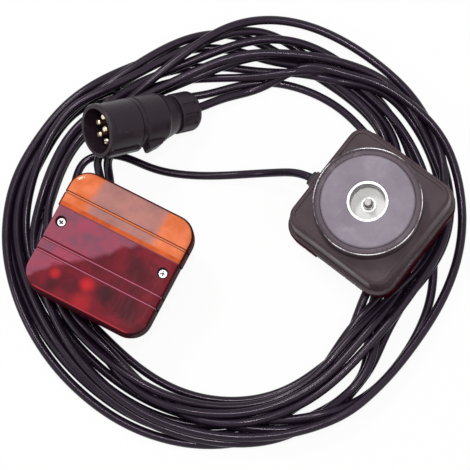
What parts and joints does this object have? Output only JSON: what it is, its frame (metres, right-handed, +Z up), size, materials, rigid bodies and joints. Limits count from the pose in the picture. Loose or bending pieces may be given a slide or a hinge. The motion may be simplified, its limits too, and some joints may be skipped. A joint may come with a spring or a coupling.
{
  "type": "magnetic trailer light kit",
  "caption": "Two square rear lamps on round pot magnets, joined by a link cord, with a long main cord wound into a flat ring and ended in a round trailer plug",
  "frame": {"origin": "on the floor, below the middle of the box round the two lamps", "axes": "+Z up, +X from the lamp that lies lens up towards the lamp that lies magnet up, +Y away from the viewer"},
  "size_m": [0.3639, 0.364, 0.0799],
  "materials": {
    "amber_lens": "clear amber acrylic, moulded",
    "red_lens": "clear red acrylic, moulded",
    "black_rubber": "soft black rubber",
    "housing_plastic": "dark brown black moulded plastic",
    "white_plastic": "white moulded plastic",
    "plated_steel": "zinc plated steel",
    "bright_steel": "bright plated steel",
    "bulb_glass": "bulb, seen as one piece",
    "brass": "bare brass",
    "dark_steel": "steel with worn black paint",
    "ferrite": "ground grey ferrite",
    "resin": "dark potting resin",
    "plug_plastic": "black moulded plastic",
    "insert_plastic": "dark brown moulded plastic",
    "cord_sheath": "smooth black vinyl sheath"
  },
  "bodies": {
    "root": {"lens_amber_a": "amber_lens", "lens_red_a": "red_lens", "lens_gasket_a": "black_rubber", "housing_a": "housing_plastic", "reflector_tray_a": "white_plastic", "indicator_holder_a": "plated_steel", "tail_holder_a": "plated_steel", "indicator_bulb_a": "bulb_glass", "tail_bulb_a": "bulb_glass", "earth_strip_a": "brass", "feed_strips_a": "brass", "lens_screws_a": "plated_steel", "grommet_a": "black_rubber", "magnet_cup_a": "dark_steel", "magnet_ring_a": "ferrite", "magnet_potting_a": "resin", "magnet_sleeve_a": "bright_steel", "magnet_bolt_a": "plated_steel", "magnet_nut_a": "plated_steel", "lens_amber_b": "amber_lens", "lens_red_b": "red_lens", "lens_gasket_b": "black_rubber", "housing_b": "housing_plastic", "reflector_tray_b": "white_plastic", "indicator_holder_b": "plated_steel", "tail_holder_b": "plated_steel", "indicator_bulb_b": "bulb_glass", "tail_bulb_b": "bulb_glass", "earth_strip_b": "brass", "feed_strips_b": "brass", "lens_screws_b": "plated_steel", "grommet_b": "black_rubber", "magnet_cup_b": "dark_steel", "magnet_ring_b": "ferrite", "magnet_potting_b": "resin", "magnet_sleeve_b": "bright_steel", "magnet_bolt_b": "plated_steel", "magnet_nut_b": "plated_steel", "plug_shell": "plug_plastic", "plug_body": "plug_plastic", "plug_insert": "insert_plastic", "plug_solid_pins": "brass", "plug_split_pins": "brass", "plug_terminal_screws": "plated_steel", "plug_seal": "black_rubber", "plug_gland_nut": "plug_plastic", "cable_coil": "cord_sheath", "plug_lead": "cord_sheath", "lamp_a_main_lead": "cord_sheath", "lamp_a_link_lead": "cord_sheath", "lamp_b_lead": "cord_sheath"}
  },
  "joints": []
}
